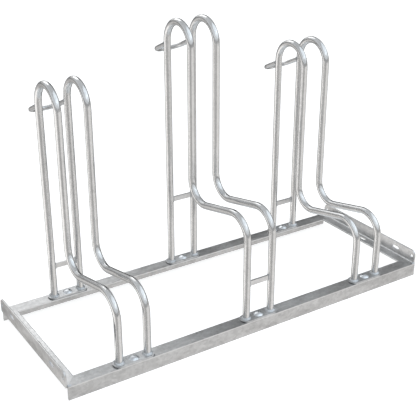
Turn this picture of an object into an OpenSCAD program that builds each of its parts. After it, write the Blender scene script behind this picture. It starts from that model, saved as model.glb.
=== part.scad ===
// Floor bike rack: a welded angle steel frame with three wheel holders bolted to it, low, high, low.
// Each holder is a pair of bent tube hoops on two foot plates, with a lock loop behind its back legs.

/* [Base frame] */
// Depth, from the front rail's face to the back rail's face
frame_d = 392; // [360:2:480]
// Height of the front and back rails
rail_h = 35; // [30:1:50]
// Width of the top leg of the front and back rails
rail_leg_w = 35; // [32:1:45]
// Height of the side rails, from their underside to the flange's top
side_h = 39; // [36:1:50]
// Width of the side rails' flat leg
side_leg_w = 33; // [30:1:45]
// Thickness of all the angle steel
steel_t = 4; // [3:0.5:5]
// Radius in the root of the angle steel
root_r = 4; // [2:0.5:5]
// Radius on the inner edges of the angle steel
toe_r = 2; // [1:0.25:2.5]
// Radius of the upper corners of the side rails' flanges
flange_corner_r = 15; // [8:1:18]

/* [Hoops] */
// Distance from one holder to the next
pitch = 350; // [320:5:380]
// Clear width between the two hoops of a holder, which takes the tyre
tyre_gap = 55; // [40:1:70]
// Outer diameter of the hoop tube
tube_d = 18; // [16:1:21]
// Wall of the hoop tube
tube_wall = 2; // [1.5:0.5:3]
// Radius of every bend, on the tube's centre line
bend_r = 55; // [50:1:58]
// Height of the low hoops
hoop_top = 620; // [560:10:700]
// How much taller the middle holder is
high_extra = 100; // [0:10:150]
// Height of the dip in a low hoop, on the tube's centre line
dip_z = 171; // [150:1:200]
// Rise from the dip to the hump in front of it
hump_rise = 29; // [15:1:45]
// Distance from a foot's centre to the outer face of its rail
foot_inset = 17; // [15:0.5:19]

/* [Foot plates] */
// Thickness of the plate under each pair of feet
plate_t = 4; // [3:0.5:5]
// Radius of the plates' round ends
plate_end_r = 16.5; // [15:0.5:17]
// Diameter of the drain hole under each foot
drain_d = 10; // [6:1:12]
// Diameter of the bolts that hold the plates
bolt_d = 10; // [8:1:11]
// Clearance of the bolt holes, on the diameter
bolt_clearance = 1; // [0.5:0.25:1.5]
// Diameter of the bolts' domed heads
head_d = 24.6; // [20:0.2:26]
// Height of the domed heads
head_h = 5.3; // [4:0.1:6]
// Length of the bolts under the head
bolt_len = 16; // [14:1:24]
// Width of the nuts across their flats
nut_af = 16; // [14:0.5:16]
// Height of the nuts, which are thin ones
nut_h = 5; // [4:0.5:9]
// Clearance of a nut's bore round its bolt, on the diameter
thread_clearance = 0.2; // [0.1:0.05:0.4]

/* [Lock loops] */
// Diameter of the loop's bar
loop_bar_d = 12; // [10:1:14]
// Distance from the top of a hoop down to the loop's axis at the back leg
loop_drop = 71; // [68:1:120]
// Length of the loop from the back leg's axis to its far end, on the bar's centre line
loop_reach = 86; // [60:1:110]
// Angle of the loop below level
loop_tilt = 25; // [0:1:40]

/* [Tie bars] */
// Height of the flat bar between two hoops
tie_h = 13; // [10:1:20]
// Thickness of the flat bar
tie_t = 5; // [4:0.5:6]
// Distance from a hoop's dip down to the middle of its back tie bar
back_tie_drop = 48; // [30:1:80]
// Height of the middle of the high holder's front tie bar
front_tie_z = 134; // [110:1:180]

/* [Holes] */
// Diameter of the link holes and width of the slots in the side rails
link_d = 9; // [7:0.5:11]
// Length of the slots, end to end
slot_len = 25; // [18:1:32]
// Distance from a flange's end to its link hole
link_end = 11; // [10:0.5:16]
// Distance between the two slots of a flange, middle to middle
slot_spacing = 237; // [200:1:260]

/* [Welds] */
// Leg of the weld round each foot
foot_weld = 4; // [3:0.5:6]
// Leg of the welds on the lock loops and the frame's corners
small_weld = 3; // [2:0.25:3.5]
// Leg of the welds at the ends of the tie bars
tie_weld = 1.75; // [1:0.25:2.5]

/* [Hidden] */
$fn = 96;
// Overrun of every cut past the face it leaves
over = 1;
// How much finer a hoop is in its bends than in its straight runs, and by what angle the bends reach into them
bend_step = 0.04;
bend_reach = 0.5;

// The holders, and the frame's width: racks linked side by side keep the holders' distance
HOLDERS = [-pitch, 0, pitch];
EXTRAS = [0, high_extra, 0];
SIDES = [-1, 1];
frame_w = len(HOLDERS) * pitch;

tube_r = tube_d / 2;
bore_r = tube_r - tube_wall;
bar_r = loop_bar_d / 2;
link_r = link_d / 2;
half_gap = (tyre_gap + tube_d) / 2;

// Ends of the frame's pieces, from the middle of the frame on the floor
rail_end = frame_w / 2 - steel_t;
rail_face = frame_d / 2;
side_end = rail_face - steel_t;
side_inner = frame_w / 2 - side_leg_w;
rail_inner = rail_face - rail_leg_w;
side_bottom = rail_h - steel_t;
link_z = (rail_h + side_bottom + side_h) / 2;
side_slot_x = (side_inner + rail_end) / 2;
foot_z = rail_h + plate_t;
bolt_hole = bolt_d + bolt_clearance;

// Rows of feet, and the tube's other upright between them
back_y = rail_face - foot_inset;
front_y = -back_y;
upper_y = back_y - 2 * bend_r;

// The lock loops reach further back than the frame, so the middle of the whole box is behind its middle
loop_back_y = back_y + loop_reach * cos(loop_tilt) + bar_r;
box_shift = (rail_face - loop_back_y) / 2;

// Moves the frame's middle to where the middle of the whole box is at the origin
module placed() {
    translate([0, box_shift, 0]) children();
}

// Quarter of a square outside a quarter round, for root fillets and rounded corners
module corner_waste(r) {
    difference() {
        square(r + over);
        circle(r);
    }
}

// Section of angle steel: a flat leg along X and an upright leg along Y, with the outer corner at the origin
module angle_section(leg_w, leg_h) {
    difference() {
        union() {
            square([leg_w, steel_t]);
            square([steel_t, leg_h]);
            translate([steel_t, steel_t]) square(root_r);
        }
        translate([steel_t + root_r, steel_t + root_r]) circle(root_r);
        translate([leg_w - toe_r, steel_t - toe_r]) corner_waste(toe_r);
        translate([steel_t - toe_r, leg_h - toe_r]) corner_waste(toe_r);
    }
}

module slot_outline(len, r) {
    half = len / 2 - r;
    for (s = SIDES) translate([s * half, 0]) circle(r);
    translate([-half, -r]) square([2 * half, 2 * r]);
}

// A rail along X with its web at the front face: the flat leg is on top and points back
module plain_rail() {
    translate([-rail_end, -rail_face, rail_h]) rotate([0, 0, 90]) rotate([-90, 0, 0])
        mirror([0, 0, 1]) linear_extrude(2 * rail_end) angle_section(rail_leg_w, rail_h);
}

// Waste outside the mitre between a rail's flat leg and a side rail's
module rail_mitre_waste() {
    translate([0, 0, side_bottom - root_r - over])
        linear_extrude(steel_t + root_r + 2 * over)
            polygon([
                [rail_end, -side_end], [side_inner, -rail_inner], [side_inner, -rail_inner + over],
                [rail_end + over, -rail_inner + over], [rail_end + over, -side_end]
            ]);
}

module front_rail() {
    color([0.74, 0.75, 0.75])
    difference() {
        plain_rail();
        rail_mitre_waste();
        mirror([1, 0, 0]) rail_mitre_waste();
        for (x = HOLDERS) translate([x, front_y, side_bottom - over])
            cylinder(h = steel_t + 2 * over, d = bolt_hole);
    }
}

module back_rail() {
    mirror([0, 1, 0]) front_rail();
}

// Waste in front of the mitre on a side rail's flat leg: the flange runs on to the rail's web
module side_mitre_waste() {
    translate([0, 0, side_bottom - over])
        linear_extrude(steel_t + root_r + 2 * over)
            polygon([
                [rail_end, -side_end], [side_inner, -rail_inner], [side_inner - over, -rail_inner],
                [side_inner - over, -side_end - over], [rail_end, -side_end - over]
            ]);
}

module flange_corner_waste() {
    translate([rail_end - over, -side_end + flange_corner_r, side_bottom + side_h - flange_corner_r])
        rotate([90, 0, 90]) mirror([1, 0, 0])
            linear_extrude(steel_t + 2 * over) corner_waste(flange_corner_r);
}

module right_side_rail() {
    color([0.76, 0.77, 0.77])
    difference() {
        translate([frame_w / 2, side_end, side_bottom]) rotate([90, 0, 0]) mirror([1, 0, 0])
            linear_extrude(2 * side_end) angle_section(side_leg_w, side_h);
        for (k = [0, 1]) mirror([0, k, 0]) {
            side_mitre_waste();
            flange_corner_waste();
            translate([rail_end - over, -side_end + link_end, link_z]) rotate([0, 90, 0])
                cylinder(h = steel_t + 2 * over, r = link_r);
            translate([rail_end - over, -slot_spacing / 2, link_z]) rotate([90, 0, 90])
                linear_extrude(steel_t + 2 * over) slot_outline(slot_len, link_r);
        }
        translate([side_slot_x, 0, side_bottom - over]) rotate([0, 0, 90])
            linear_extrude(steel_t + 2 * over) slot_outline(slot_len, link_r);
    }
}

module left_side_rail() {
    mirror([1, 0, 0]) right_side_rail();
}

// The hoop is drawn in its own upright plane, where X runs to the back and Y runs up.
// The run from the dip to the hump is the common tangent of their two bends.
dip_centre_y = upper_y - bend_r;
hump_centre_y = front_y + bend_r;
bend_gap = [dip_centre_y - hump_centre_y, 2 * bend_r - hump_rise];
slope = asin(2 * bend_r / norm(bend_gap)) - atan2(bend_gap[1], bend_gap[0]);
slope_len = sqrt(bend_gap[0] * bend_gap[0] + bend_gap[1] * bend_gap[1] - 4 * bend_r * bend_r);

module rod(from, angle, len, r) {
    translate(from) rotate([0, 0, angle]) rotate([0, 90, 0]) cylinder(h = len, r = r);
}

// A bend from its upright end, which lies behind the centre, down and round to the front.
// It is a little finer than the straight runs, and its ends lie just inside them.
module dip_bend(sweep, r) {
    mirror([0, 1, 0]) rotate([0, 0, -bend_reach]) rotate_extrude(angle = sweep + 2 * bend_reach)
        translate([bend_r, 0]) circle(r - bend_step);
}

// The hoop's whole length at radius r, with its feet run on below the plates' top by past
module hoop_run(extra_h, r, past) {
    top_z = hoop_top + extra_h - tube_r - bend_r;
    dip = dip_z + extra_h + bend_r;
    hump = dip_z + hump_rise + extra_h - bend_r;
    rod([back_y, foot_z - past], 90, top_z - foot_z + past, r);
    translate([back_y - bend_r, top_z]) mirror([0, 1, 0]) dip_bend(180, r);
    rod([upper_y, top_z], -90, top_z - dip, r);
    translate([dip_centre_y, dip]) {
        dip_bend(90 + slope, r);
        rotate([0, 0, 180 - slope]) translate([0, bend_r]) rotate([0, 90, 0]) cylinder(h = slope_len, r = r);
    }
    translate([hump_centre_y, hump]) rotate([0, 0, 180]) dip_bend(90 + slope, r);
    rod([front_y, hump], -90, hump - foot_z + past, r);
}

module hoop(holder, side) {
    color([0.80, 0.81, 0.82])
    translate([HOLDERS[holder] + side * half_gap, 0, 0]) rotate([90, 0, 90])
        difference() {
            hoop_run(EXTRAS[holder], tube_r, 0);
            hoop_run(EXTRAS[holder], bore_r, over);
        }
}

// Plate with round ends under the two feet that a holder has on one rail
module foot_plate(holder, y) {
    color([0.76, 0.77, 0.78])
    translate([HOLDERS[holder], y, rail_h]) difference() {
        linear_extrude(plate_t) slot_outline(2 * (half_gap + plate_end_r), plate_end_r);
        for (s = SIDES) translate([s * half_gap, 0, -over]) cylinder(h = plate_t + 2 * over, d = drain_d);
        translate([-bolt_hole / 2, -bolt_hole / 2, -over]) cube([bolt_hole, bolt_hole, plate_t + 2 * over]);
    }
}

// A bolt with its head's flat side at the origin: domed head, short square neck, round shank
module domed_bolt() {
    dome_r = (head_d * head_d / 4 + head_h * head_h) / (2 * head_h);
    neck_h = plate_t - bolt_clearance / 2;
    difference() {
        translate([0, 0, head_h - dome_r]) sphere(dome_r);
        translate([-dome_r - over, -dome_r - over, -2 * dome_r])
            cube([2 * (dome_r + over), 2 * (dome_r + over), 2 * dome_r]);
    }
    translate([-bolt_d / 2, -bolt_d / 2, -neck_h]) cube([bolt_d, bolt_d, neck_h + over]);
    translate([0, 0, -bolt_len]) cylinder(h = bolt_len, r = bolt_d / 2);
}

// A hexagon nut with its upper face at the origin and a flat towards the rail's web
module nut() {
    corner_r = nut_af / 2 / cos(30);
    difference() {
        translate([0, 0, -nut_h]) linear_extrude(nut_h)
            polygon([for (a = [0 : 60 : 300]) [corner_r * cos(a), corner_r * sin(a)]]);
        translate([0, 0, -nut_h - over]) cylinder(h = nut_h + 2 * over, d = bolt_d + thread_clearance);
    }
}

module at_bolts(z) {
    for (x = HOLDERS, y = [front_y, back_y]) translate([x, y, z]) children();
}

module plate_bolts() {
    color([0.84, 0.86, 0.90]) at_bolts(foot_z) domed_bolt();
}

module plate_nuts() {
    color([0.84, 0.86, 0.90]) at_bolts(side_bottom) nut();
}

// Places what lies in the loop's own plane: X across the holder, Y out to the back and down
module in_loop_plane(holder) {
    translate([HOLDERS[holder], back_y, hoop_top + EXTRAS[holder] - loop_drop])
        rotate([-loop_tilt, 0, 0]) children();
}

module loop_bar() {
    arm = loop_reach - half_gap;
    for (s = SIDES) translate([s * half_gap, 0, 0]) rotate([-90, 0, 0]) cylinder(h = arm, r = bar_r);
    translate([0, arm, 0]) rotate_extrude(angle = 180) translate([half_gap, 0]) circle(bar_r);
}

// The uprights that a loop or a tie bar is fitted between, as solid rounds
module uprights(holder, y, from, to) {
    for (s = SIDES) translate([HOLDERS[holder] + s * half_gap, y, from]) cylinder(h = to - from, r = tube_r);
}

module lock_loop(holder) {
    axis_z = hoop_top + EXTRAS[holder] - loop_drop;
    color([0.72, 0.73, 0.73])
    difference() {
        in_loop_plane(holder) loop_bar();
        uprights(holder, back_y, axis_z - 2 * tube_d, axis_z + 2 * tube_d);
    }
}

module tie_flat(holder, y, z) {
    translate([HOLDERS[holder] - half_gap, y - tie_t / 2, z - tie_h / 2]) cube([2 * half_gap, tie_t, tie_h]);
}

module tie_bar(holder, y, z) {
    color([0.70, 0.71, 0.71])
    difference() {
        tie_flat(holder, y, z);
        uprights(holder, y, z - tie_h, z + tie_h);
    }
}

function back_tie_z(holder) = dip_z + EXTRAS[holder] - back_tie_drop;

module back_tie_bar(holder) {
    tie_bar(holder, back_y, back_tie_z(holder));
}

module middle_front_tie_bar() {
    tie_bar(1, front_y, front_tie_z);
}

// A ring of weld round every foot, a quarter round in section
module foot_welds() {
    color([0.82, 0.84, 0.87])
    for (x = HOLDERS, s = SIDES, y = [front_y, back_y])
        translate([x + s * half_gap, y, foot_z]) rotate_extrude() translate([tube_r, 0])
            intersection() {
                circle(foot_weld);
                square(foot_weld);
            }
}

// A bead with round ends, lying along X from the origin
module bead(len, r) {
    rotate([0, 90, 0]) cylinder(h = len, r = r);
    for (x = [0, len]) translate([x, 0, 0]) sphere(r);
}

// At each corner: a bead where the flange's end meets the rail, and one under the mitre
module corner_welds() {
    mitre = [rail_end - side_inner, side_end - rail_inner];
    color([0.84, 0.86, 0.89])
    for (i = [0, 1], j = [0, 1]) mirror([i, 0, 0]) mirror([0, j, 0]) difference() {
        union() {
            translate([rail_end - 3 * small_weld, -side_end, rail_h]) rotate([0, 90, 0])
                cylinder(h = 3 * small_weld, r = small_weld);
            translate([side_inner, -rail_inner, side_bottom])
                rotate([0, 0, -atan2(mitre[1], mitre[0])]) translate([2 * small_weld, 0, 0])
                    rotate([0, 90, 0]) cylinder(h = norm(mitre) - root_r - 4 * small_weld, r = small_weld);
        }
        translate([0, -rail_face, side_bottom]) cube([rail_end, frame_d, steel_t]);
        translate([rail_end, -side_end, side_bottom]) cube([steel_t, frame_d, side_h]);
        translate([rail_end - root_r, -side_end, side_bottom]) cube([root_r, frame_d, steel_t + root_r]);
    }
}

// A collar of weld where each arm of a lock loop meets its upright
module lock_loop_welds() {
    color([0.82, 0.84, 0.87])
    for (h = [0 : len(HOLDERS) - 1]) difference() {
        in_loop_plane(h) for (s = SIDES) translate([s * half_gap, tube_r / 2, 0]) rotate([-90, 0, 0])
            cylinder(h = tube_r / 2 + small_weld, r1 = bar_r + small_weld, r2 = bar_r);
        in_loop_plane(h) loop_bar();
        uprights(h, back_y, hoop_top - 2 * loop_drop, hoop_top + high_extra);
    }
}

// Beads down both faces of a tie bar where it meets its uprights
module one_tie_bar_welds(holder, y, z) {
    difference() {
        for (s = SIDES, f = SIDES)
            translate([HOLDERS[holder] + s * (half_gap - tube_r), y + f * tie_t / 2, z - tie_h / 2])
                rotate([0, -90, 0]) bead(tie_h, tie_weld);
        uprights(holder, y, z - 2 * tie_h, z + 2 * tie_h);
        tie_flat(holder, y, z);
    }
}

module tie_bar_welds() {
    color([0.80, 0.82, 0.84]) {
        for (h = [0 : len(HOLDERS) - 1]) one_tie_bar_welds(h, back_y, back_tie_z(h));
        one_tie_bar_welds(1, front_y, front_tie_z);
    }
}

placed() front_rail();
placed() back_rail();
placed() left_side_rail();
placed() right_side_rail();
placed() hoop(0, -1);  // left_holder_left_hoop
placed() hoop(0, 1);  // left_holder_right_hoop
placed() hoop(1, -1);  // middle_holder_left_hoop
placed() hoop(1, 1);  // middle_holder_right_hoop
placed() hoop(2, -1);  // right_holder_left_hoop
placed() hoop(2, 1);  // right_holder_right_hoop
placed() lock_loop(0);  // left_lock_loop
placed() lock_loop(1);  // middle_lock_loop
placed() lock_loop(2);  // right_lock_loop
placed() back_tie_bar(0);  // left_back_tie_bar
placed() back_tie_bar(1);  // middle_back_tie_bar
placed() back_tie_bar(2);  // right_back_tie_bar
placed() middle_front_tie_bar();
placed() foot_plate(0, front_y);  // left_front_foot_plate
placed() foot_plate(1, front_y);  // middle_front_foot_plate
placed() foot_plate(2, front_y);  // right_front_foot_plate
placed() foot_plate(0, back_y);  // left_back_foot_plate
placed() foot_plate(1, back_y);  // middle_back_foot_plate
placed() foot_plate(2, back_y);  // right_back_foot_plate
placed() plate_bolts();
placed() plate_nuts();
placed() foot_welds();
placed() corner_welds();
placed() lock_loop_welds();
placed() tie_bar_welds();
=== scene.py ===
"""The floor bike rack in galvanised steel, on a pale floor in soft studio light."""
import math
import bmesh
import bpy
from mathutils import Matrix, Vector


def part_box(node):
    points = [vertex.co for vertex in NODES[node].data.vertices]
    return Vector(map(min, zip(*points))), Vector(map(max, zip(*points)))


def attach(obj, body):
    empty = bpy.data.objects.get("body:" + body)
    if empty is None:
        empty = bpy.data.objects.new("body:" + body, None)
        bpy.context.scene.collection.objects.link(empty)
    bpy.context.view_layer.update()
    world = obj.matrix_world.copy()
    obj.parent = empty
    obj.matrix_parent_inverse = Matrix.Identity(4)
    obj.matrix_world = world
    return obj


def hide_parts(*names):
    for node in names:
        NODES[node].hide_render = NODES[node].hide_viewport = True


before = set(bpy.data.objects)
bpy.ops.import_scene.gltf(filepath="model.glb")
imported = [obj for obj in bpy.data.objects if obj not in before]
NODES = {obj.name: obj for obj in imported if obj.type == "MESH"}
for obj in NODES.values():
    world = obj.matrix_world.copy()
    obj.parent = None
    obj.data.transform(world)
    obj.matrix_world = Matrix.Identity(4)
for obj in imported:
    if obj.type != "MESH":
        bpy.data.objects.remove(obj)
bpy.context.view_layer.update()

MM = 0.001

# Sizes of the rack, as in the part's source. HALF_GAP goes from a holder's middle to the centre
# line of each of its hoops. The flange's faces and end are measured from the rack's middle.
PITCH = 350 * MM
HALF_GAP = 36.5 * MM
TUBE_R = 9 * MM
PLATE_TOP = 39 * MM
RAIL_TOP = 35 * MM
FLANGE_FACES = (521 * MM, 525 * MM)
FLANGE_TOP = 70 * MM
FLANGE_END = 192 * MM
BACK_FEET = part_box("left_back_foot_plate")
FRONT_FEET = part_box("left_front_foot_plate")
FOOT_ROWS = [(low.y + high.y) / 2 for low, high in (FRONT_FEET, BACK_FEET)]

# Welds round the feet: their section, their ripples and their broad lobes
WELD_LEG = 4 * MM
WELD_CROWN = 0.35 * MM
WELD_FACE_STEPS = 5
WELD_RING_STEPS = 96
RIPPLES = 15
RIPPLE_SWELL = 0.22 * MM
LOBES = 2
LOBE_SWELL = 0.30 * MM
LOBE_PHASE = 2.1
SWELL_DOWN = 0.2 * MM
SWELL_RISE = 0.4
SWELL_AT_TUBE = 0.3
TUBE_SKIN, PLATE_SKIN = 0.1 * MM, 0.5 * MM
FOOT_PHASE = 1.7

# Patterns of the zinc: scale, detail and roughness of each noise, and shares in the shade
CLOUDS = (26.0, 4.0, 0.55)
RUNS = (140.0, 2.0, 0.6)
GRAIN = (900.0, 3.0, 0.6)
CRYSTAL_SCALE = 150.0
CLOUD_SHARE, RUN_SHARE, CRYSTAL_SHARE = 0.62, 0.26, 0.12
RELIEF_DEPTH = 0.4 * MM
CLOUD_SPAN = (0.3, 0.7)
GLOSS_SPREAD = (-0.06, 0.08)
METAL = 0.9
# Metal taken off on the walls of the flange's holes, for their painted light
METAL_OFF_IN_HOLES = 0.8

# Painted shade and light on the zinc: heights over a plate's joint for its painted shadow, depths
# under a top edge for its painted highlight, and strips of the flange that the painted light in
# the
# holes keeps off: its faces, its top and its ends
JOINT_DARK = {"start": 0.4 * MM, "end": 2.4 * MM, "first": 0.6, "last": 0.0}
JOINT_TURN = (0.15, 0.5)
EDGE_DEPTHS = (2.2 * MM, 3.2 * MM)
EDGE_SKIN = (0.02 * MM, 0.08 * MM)
EDGE_HIGHLIGHT = 0.24
HOLE_FACE_STRIP, HOLE_TOP_STRIP, HOLE_END_STRIP = 0.15 * MM, 4 * MM, 3 * MM

# Tones of the zinc, and where each lies on the scale of its shade. The lowest is the painted
# shadow's tone, reached mainly in a plate's joint; the highest is painted light, reached mainly
# in the flange's holes; the pale band is reached by the brightest patches and the painted
# highlight
PAINTED_SHADOW_TONE = (0.06, 0.06, 0.06, 1.0)
PAINTED_LIGHT_TONE = (0.84, 0.84, 0.86, 1.0)
PALER = 1.12
PAINTED_SHADOW_AT, DARK_AT, LIGHT_AT, PALE_FROM, PALE_TO, PAINTED_LIGHT_AT = 0.0, 0.36, 0.66, 0.78, 0.97, 1.0

# Studio: world and floor
SKY_TONE = (0.93, 0.97, 1.0, 1.0)
WORLD_FILL = 0.5
FLOOR_HALF = 12
FLOOR_PAINT = 0.60
FLOOR_GLOW = 0.80

# Studio: upright cards that only the gloss sees. Each has its two bearings in degrees, its
# lower and upper edge in metres, its tone, its warmth and its distance. A card that stands in
# front of another is nearer.
FAR, NEAR = 6.0, 5.8
WALL_CARDS = [
    ("dark_wall", 47, 65.5, 1.4, 5.4, 0.08, 0.0, FAR),
    ("dark_wall_foot", 38, 66, -2.0, 1.4, 0.02, 0.0, NEAR),
    ("dim_wall", 0, 47, 0.2, 5.4, 0.36, 0.0, FAR),
    ("light_wall_foot", 66, 100, -1.0, 1.5, 0.20, 0.0, NEAR),
    ("light_wall", 65.5, 100, 1.5, 3.3, 0.95, 0.0, FAR),
    ("bright_wall", 74, 104, 3.3, 5.2, 0.8, 0.0, NEAR),
    ("right_wall", -60, 12, 2.0, 5.2, 1.40, -0.06, NEAR),
    ("left_wall", 100, 160, 1.6, 3.8, 0.62, 0.0, FAR),
    ("left_wall_foot", 100, 160, 0.2, 1.6, 0.34, 0.0, FAR),
    ("grey_wall", -200, 0, 0.2, 1.6, 0.45, 0.0, FAR)]
CARD_STEPS = 48
CEILING = {"height": 5.4, "radius": 6, "level": 0.70}
CEILING_WARMTH = -0.03

# Studio: the floor's tone in the gloss, by bearing
FLOOR_BELOW, FLOOR_UP_TO = -6.0, 0.2
FLOOR_WARMTH = 0.02
FLOOR_TONES = [
    ("floor_back", 57, 100, 0.56),
    ("floor_back_left", 100, 118, 0.50),
    ("floor_left_back", 118, 134, 0.86),
    ("floor_left", 134, 182, 1.60),
    ("floor_left_front", 182, 203, 1.15),
    ("floor_camera_side", 203, 258, 0.60),
    ("floor_front_left", 258, 294, 1.08),
    ("floor_front", 294, 312, 1.20),
    ("floor_front_right", 312, 360, 0.98),
    ("floor_right", 0, 57, 0.28)]

# Camera, from the photograph's solved view
CAMERA_PLACE = Vector((-1.1131, -1.7016, 1.1785))
CAMERA_AIM = Vector((0.49426, 0.76269, -0.41714))
CAMERA_LENS = 75.48
CAMERA_SENSOR = 36


class Wire:
    """An output socket, on which sums are written as sums."""

    def __init__(self, nodes, socket):
        self.nodes = nodes
        self.socket = socket

    def __add__(self, other):
        return self.nodes.maths("ADD", self, other)

    def __radd__(self, other):
        return self.nodes.maths("ADD", other, self)

    def __sub__(self, other):
        return self.nodes.maths("SUBTRACT", self, other)

    def __rsub__(self, other):
        return self.nodes.maths("SUBTRACT", other, self)

    def __mul__(self, other):
        return self.nodes.maths("MULTIPLY", self, other)

    def __rmul__(self, other):
        return self.nodes.maths("MULTIPLY", other, self)


class Nodes:
    """A node tree that is filled from empty: a material's or the world's."""

    def __init__(self, tree):
        self.tree = tree
        tree.nodes.clear()

    def node(self, kind, settings=None, sockets=None, output=0):
        """Adds a node, sets it, fills its sockets with values or links, gives an output."""
        made = self.tree.nodes.new(kind)
        for name, value in (settings or {}).items():
            if name == "stops":
                set_stops(made.color_ramp, value)
            else:
                setattr(made, name, value)
        for key, value in (sockets or {}).items():
            if isinstance(value, Wire):
                self.tree.links.new(value.socket, made.inputs[key])
            else:
                made.inputs[key].default_value = value
        return Wire(self, made.outputs[output]) if len(made.outputs) else None

    def maths(self, operation, *values):
        return self.node("ShaderNodeMath", {"operation": operation}, dict(enumerate(values)))

    def ranged(self, value, start, end, first=0.0, last=1.0):
        """Carries a value from one range to another, held at the ends."""
        sockets = {0: value, 1: start, 2: end, 3: first, 4: last}
        return self.node("ShaderNodeMapRange", None, sockets)

    def coordinate(self, axis, kind="Object"):
        """A point's place along an axis, or with kind Normal its face's turn towards it."""
        place = self.node("ShaderNodeTexCoord", output=kind)
        return self.node("ShaderNodeSeparateXYZ", None, {0: place}, axis)

    def noise(self, place, scale, detail, roughness):
        sockets = {"Vector": place, "Scale": scale, "Detail": detail, "Roughness": roughness}
        return self.node("ShaderNodeTexNoise", {"noise_dimensions": "3D"}, sockets)


def set_stops(ramp, stops):
    while len(ramp.elements) < len(stops):
        ramp.elements.new(1.0)
    for element, (place, colour) in zip(ramp.elements, stops):
        element.position = place
        element.color = colour


def grey(level, warmth=0.0):
    return (level * (1 + warmth), level, level * (1 - warmth), 1.0)


def new_material(name):
    material = bpy.data.materials.new(name)
    material.use_nodes = True
    return material, Nodes(material.node_tree)


def stretched_place(nodes, scale):
    """Object coordinates, squeezed along a piece so that a pattern runs out into streaks."""
    place = nodes.node("ShaderNodeTexCoord", output="Object")
    return nodes.node("ShaderNodeMapping", None, {"Vector": place, "Scale": scale})


def joint_shadow(nodes, height):
    """Painted shadow in the joint under a plate's ends, which fades out above it."""
    over = nodes.coordinate("Z") - height
    sideways = nodes.coordinate("X", "Normal")
    return nodes.ranged(over, **JOINT_DARK) * nodes.ranged(sideways * sideways, *JOINT_TURN)


def painted_edge_highlight(nodes, height):
    """A painted highlight: paler colour on the edge below a flat top."""
    depth = height - nodes.coordinate("Z")
    near = nodes.ranged(depth, *EDGE_DEPTHS, EDGE_HIGHLIGHT, 0.0)
    under = nodes.ranged(depth, *EDGE_SKIN, 0.0, 1.0)
    return near * under


def painted_hole_light(nodes):
    """Painted light: paler, less metallic colour on the walls of the holes, between the faces of
    a side rail's flange.
    """
    inner, outer = FLANGE_FACES
    depth = nodes.maths("ABSOLUTE", nodes.coordinate("X"))
    reach = nodes.maths("ABSOLUTE", nodes.coordinate("Y"))
    inside = nodes.maths("GREATER_THAN", depth, inner + HOLE_FACE_STRIP)
    outside = nodes.maths("LESS_THAN", depth, outer - HOLE_FACE_STRIP)
    low = nodes.maths("LESS_THAN", nodes.coordinate("Z"), FLANGE_TOP - HOLE_TOP_STRIP)
    short = nodes.maths("LESS_THAN", reach, FLANGE_END - HOLE_END_STRIP)
    return inside * outside * low * short


def zinc_patterns(nodes, stretch):
    """Clouded patches, faint runs along the piece, fine crystals, and a finer grain."""
    even = stretched_place(nodes, (1, 1, 1))
    along = stretched_place(nodes, stretch)
    clouds = nodes.noise(along, *CLOUDS)
    runs = nodes.noise(along, *RUNS)
    crystals = nodes.node("ShaderNodeTexVoronoi", {"feature": "F1"},
                          {"Vector": even, "Scale": CRYSTAL_SCALE, "Randomness": 1.0}, "Color")
    crystal = nodes.node("ShaderNodeSeparateColor", None, {0: crystals})
    return clouds, runs, crystal, nodes.noise(even, *GRAIN)


def zinc_colour(nodes, shade, light, dark):
    pale = tuple(min(1.0, part * PALER) for part in light)
    stops = [(PAINTED_SHADOW_AT, PAINTED_SHADOW_TONE), (DARK_AT, dark), (LIGHT_AT, light), (PALE_FROM, pale),
             (PALE_TO, pale), (PAINTED_LIGHT_AT, PAINTED_LIGHT_TONE)]
    return nodes.node("ShaderNodeValToRGB", {"stops": stops}, {0: shade})


def zinc(name, stretch, light, dark, roughness, bump, joint=None, edge=None, holes=False):
    """Galvanised zinc. joint is the height of a plate's joint, above which shadow is painted;
    edge is the height of a top edge, below which a highlight is painted; holes paints light on
    the walls of the flange's holes.
    """
    material, nodes = new_material(name)
    clouds, runs, crystal, grain = zinc_patterns(nodes, stretch)
    shade = clouds * CLOUD_SHARE + runs * RUN_SHARE + crystal * CRYSTAL_SHARE
    metal = METAL
    # painted shadow: the zinc is darkened in the joint under a plate's ends
    if joint is not None:
        shade = shade - joint_shadow(nodes, joint)
    # painted highlight: the zinc is made paler on the edge below a flat top
    if edge is not None:
        shade = shade + painted_edge_highlight(nodes, edge)
    # painted light: the walls of the flange's holes are made pale and hardly metallic
    if holes:
        wall = painted_hole_light(nodes)
        shade = shade + wall
        metal = metal - wall * METAL_OFF_IN_HOLES
    colour = zinc_colour(nodes, shade, light, dark)
    glossiest, dullest = [roughness + part for part in GLOSS_SPREAD]
    gloss = nodes.ranged(clouds, *CLOUD_SPAN, glossiest, dullest)
    relief = nodes.node("ShaderNodeBump", None, {"Strength": bump, "Distance": RELIEF_DEPTH,
                                                 "Height": runs * 0.5 + grain * 0.5})
    shader = nodes.node("ShaderNodeBsdfPrincipled", None, {
        "Base Color": colour, "Metallic": metal, "Roughness": gloss, "Normal": relief})
    nodes.node("ShaderNodeOutputMaterial", None, {"Surface": shader})
    return material


def dress(material, names):
    for name in names:
        mesh = NODES[name].data
        mesh.materials.clear()
        mesh.materials.append(material)


def named(*endings):
    return [name for name in NODES if name.endswith(endings)]


def dress_frame():
    """The long rails' runs lie along X, the side rails' along Y."""
    # the long rails get a painted highlight on the edge below their top
    dress(zinc("rail_zinc", stretch=(0.4, 1, 1), light=grey(0.61), dark=grey(0.39),
               roughness=0.34, bump=0.2, edge=RAIL_TOP), ["front_rail", "back_rail"])
    # the side rails get painted light on the walls of their flange's holes
    dress(zinc("side_rail_zinc", stretch=(1, 0.4, 1), light=grey(0.69), dark=grey(0.46),
               roughness=0.34, bump=0.2, holes=True), ["left_side_rail", "right_side_rail"])


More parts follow.
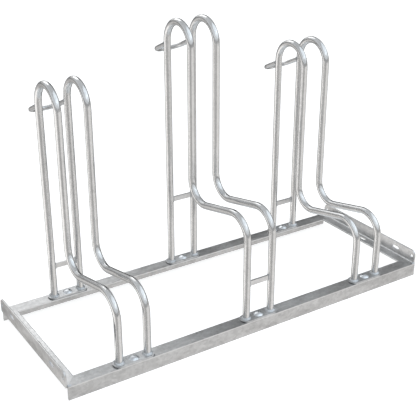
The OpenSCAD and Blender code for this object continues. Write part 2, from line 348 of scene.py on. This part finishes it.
def dress_holders():
    dress(zinc("tube_zinc", stretch=(1, 1, 0.5), light=grey(0.69), dark=grey(0.58),
               roughness=0.17, bump=0.05), named("hoop"))
    dress(zinc("bar_zinc", stretch=(1, 1, 1), light=grey(0.67), dark=grey(0.53),
               roughness=0.30, bump=0.2), named("lock_loop", "tie_bar"))
    # the foot plates get a painted shadow along their joint with the rail
    dress(zinc("plate_zinc", stretch=(0.5, 1, 1), light=grey(0.65, -0.01), dark=grey(0.46, -0.01),
               roughness=0.40, bump=0.3, joint=RAIL_TOP), named("foot_plate"))
    dress(zinc("bolt_zinc", stretch=(1, 1, 1), light=grey(0.80, -0.03), dark=grey(0.62, -0.03),
               roughness=0.30, bump=0.1), ["plate_bolts", "plate_nuts"])


def dress_welds():
    """Gives the welds their zinc, and returns it for the ones that are replaced."""
    weld_zinc = zinc("weld_zinc", stretch=(1, 1, 1), light=grey(0.65, -0.03),
                     dark=grey(0.46, -0.03), roughness=0.44, bump=0.4)
    dress(weld_zinc, named("_welds"))
    return weld_zinc


def weld_profile(work):
    """Edge chain of a fillet weld's face, from the plate up to the tube, slightly crowned."""
    points = []
    for step in range(WELD_FACE_STEPS + 1):
        part = step / WELD_FACE_STEPS
        crown = WELD_CROWN * math.sin(math.pi * part)
        away, height = WELD_LEG * (1 - part) + crown, WELD_LEG * part + crown
        points.append(work.verts.new((TUBE_R + away, 0, height)))
    return points + [work.edges.new(pair) for pair in zip(points, points[1:])]


def ripple(ring, phase):
    """Swells a weld's ring into overlapping ripples, less so near the tube."""
    for vert in ring.verts:
        turn = math.atan2(vert.co.y, vert.co.x)
        away = Vector((vert.co.x, vert.co.y, 0)).length - TUBE_R
        if away > TUBE_SKIN:
            swell = RIPPLE_SWELL * math.sin(RIPPLES * turn + phase) - SWELL_DOWN
            swell += LOBE_SWELL * math.sin(LOBES * turn + LOBE_PHASE * phase)
            out = Vector((math.cos(turn), math.sin(turn), 0))
            vert.co += out * swell * min(1, away / WELD_LEG + SWELL_AT_TUBE)
            if vert.co.z > PLATE_SKIN:
                vert.co.z += swell * SWELL_RISE


def foot_weld(work, x, y, phase):
    """Ring of weld ripples round one foot."""
    ring = bmesh.new()
    bmesh.ops.spin(ring, geom=weld_profile(ring), cent=(0, 0, 0), axis=(0, 0, 1),
                   angle=math.tau, steps=WELD_RING_STEPS, use_merge=True, use_duplicate=False)
    ripple(ring, phase)
    bmesh.ops.recalc_face_normals(ring, faces=ring.faces)
    bmesh.ops.translate(ring, verts=ring.verts, vec=(x, y, PLATE_TOP))
    mesh = mesh_of(ring, "ring")
    work.from_mesh(mesh)
    bpy.data.meshes.remove(mesh)


def mesh_of(work, name):
    mesh = bpy.data.meshes.new(name)
    work.to_mesh(mesh)
    work.free()
    return mesh


def placed(name, data):
    """Adds an object to the scene."""
    thing = bpy.data.objects.new(name, data)
    bpy.context.scene.collection.objects.link(thing)
    return thing


def finish_piece(work, name, material):
    for face in work.faces:
        face.smooth = True
    mesh = mesh_of(work, name)
    mesh.materials.append(material)
    piece = placed(name, mesh)
    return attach(piece, "root")


def add_foot_welds(material):
    work = bmesh.new()
    middles = [-PITCH, 0, PITCH]
    feet = [(x + side * HALF_GAP, y) for x in middles for side in (-1, 1) for y in FOOT_ROWS]
    for count, (x, y) in enumerate(feet):
        foot_weld(work, x, y, FOOT_PHASE * count)
    piece = finish_piece(work, "foot_weld_ripples", material)
    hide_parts("foot_welds")


def ray_kind(nodes, kind):
    return nodes.node("ShaderNodeLightPath", output=kind)


def studio_floor():
    """Matt and pale, a little bright of itself, and unseen by the gloss."""
    work = bmesh.new()
    bmesh.ops.create_grid(work, x_segments=1, y_segments=1, size=FLOOR_HALF)
    mesh = mesh_of(work, "studio_floor")
    paint, nodes = new_material("pale_floor")
    straight = ray_kind(nodes, "Is Camera Ray") + ray_kind(nodes, "Is Glossy Ray")
    straight = straight + ray_kind(nodes, "Is Transmission Ray")
    matt = nodes.node("ShaderNodeBsdfDiffuse", None, {"Color": grey(FLOOR_PAINT)})
    glow = nodes.node("ShaderNodeEmission", None,
                      {"Color": grey(1.0), "Strength": straight * FLOOR_GLOW})
    both = nodes.node("ShaderNodeAddShader", None, {0: matt, 1: glow})
    nodes.node("ShaderNodeOutputMaterial", None, {"Surface": both})
    mesh.materials.append(paint)
    floor = placed("studio_floor", mesh)
    floor.visible_glossy = False


def studio_world():
    """White to the camera, a cool sky to the zinc's gloss and a weaker one to all else."""
    world = bpy.data.worlds.new("studio")
    bpy.context.scene.world = world
    world.use_nodes = True
    nodes = Nodes(world.node_tree)
    glossy = nodes.maths("MAXIMUM", ray_kind(nodes, "Is Glossy Ray"),
                         ray_kind(nodes, "Is Transmission Ray"))
    sky = nodes.node("ShaderNodeBackground", None, {
        "Color": SKY_TONE, "Strength": nodes.ranged(glossy, 0.0, 1.0, WORLD_FILL, 1.0)})
    white = nodes.node("ShaderNodeBackground", None, {"Color": grey(1.0)})
    choice = nodes.node("ShaderNodeMixShader", None,
                        {0: ray_kind(nodes, "Is Camera Ray"), 1: sky, 2: white})
    nodes.node("ShaderNodeOutputWorld", None, {"Surface": choice})


def turned_to(aim):
    return Vector(aim).to_track_quat("-Z", "Y").to_euler()


def softbox(name, place, target, size, watts, colour=(1, 1, 1)):
    lamp = bpy.data.lights.new(name, "AREA")
    lamp.color = colour
    lamp.shape = "RECTANGLE"
    lamp.size, lamp.size_y = size
    lamp.energy = watts
    box = placed(name, lamp)
    box.location = place
    box.rotation_euler = turned_to(Vector(target) - Vector(place))
    box.visible_camera = False


def studio_lamps():
    """A cool light from above the front, and a smaller one from behind."""
    softbox("key_softbox", place=(0.9, -1.9, 3.6), target=(0, 0, 0.3), size=(6.0, 3.4),
            watts=48, colour=(0.78, 0.90, 1.0))
    softbox("window_softbox", place=(0.25, 3.4, 3.3), target=(0, 0, 0.2), size=(2.6, 2.5),
            watts=27)


def gloss_card(work, name, tone):
    """Makes a card of the studio that only the zinc's gloss sees."""
    mesh = mesh_of(work, name)
    paint, nodes = new_material(name)
    shade = nodes.node("ShaderNodeEmission", None, {"Color": tone, "Strength": 1.0})
    nodes.node("ShaderNodeOutputMaterial", None, {"Surface": shade})
    mesh.materials.append(paint)
    card = placed(name, mesh)
    card.visible_camera = card.visible_diffuse = False
    card.visible_shadow = card.visible_transmission = False


def wall_card(name, start, end, low, high, level, warmth, away):
    """An upright card round part of the studio, from one bearing to another."""
    work = bmesh.new()
    turn = math.radians(start)
    x, y = away * math.cos(turn), away * math.sin(turn)
    foot, head = work.verts.new((x, y, low)), work.verts.new((x, y, high))
    edge = work.edges.new((foot, head))
    bmesh.ops.spin(work, geom=[foot, head, edge], cent=(0, 0, 0), axis=(0, 0, 1),
                   angle=math.radians(end - start), steps=CARD_STEPS, use_merge=False,
                   use_duplicate=False)
    gloss_card(work, name, grey(level, warmth))


def ceiling_card(height, radius, level):
    work = bmesh.new()
    bmesh.ops.create_circle(work, cap_ends=True, segments=CARD_STEPS, radius=radius)
    bmesh.ops.translate(work, verts=work.verts, vec=(0, 0, height))
    gloss_card(work, "ceiling", grey(level, CEILING_WARMTH))


def studio_cards():
    for card in WALL_CARDS:
        wall_card(*card)
    ceiling_card(**CEILING)
    for name, start, end, level in FLOOR_TONES:
        wall_card(name, start, end, FLOOR_BELOW, FLOOR_UP_TO, level, FLOOR_WARMTH, FAR)


def camera():
    lens = bpy.data.cameras.new("camera")
    lens.sensor_width = CAMERA_SENSOR
    lens.lens = CAMERA_LENS
    seat = placed("camera", lens)
    seat.location = CAMERA_PLACE
    seat.rotation_euler = turned_to(CAMERA_AIM)
    bpy.context.scene.camera = seat


dress_frame()
dress_holders()
add_foot_welds(dress_welds())
studio_floor()
studio_world()
studio_lamps()
studio_cards()
camera()
bpy.context.scene.view_settings.view_transform = "Standard"
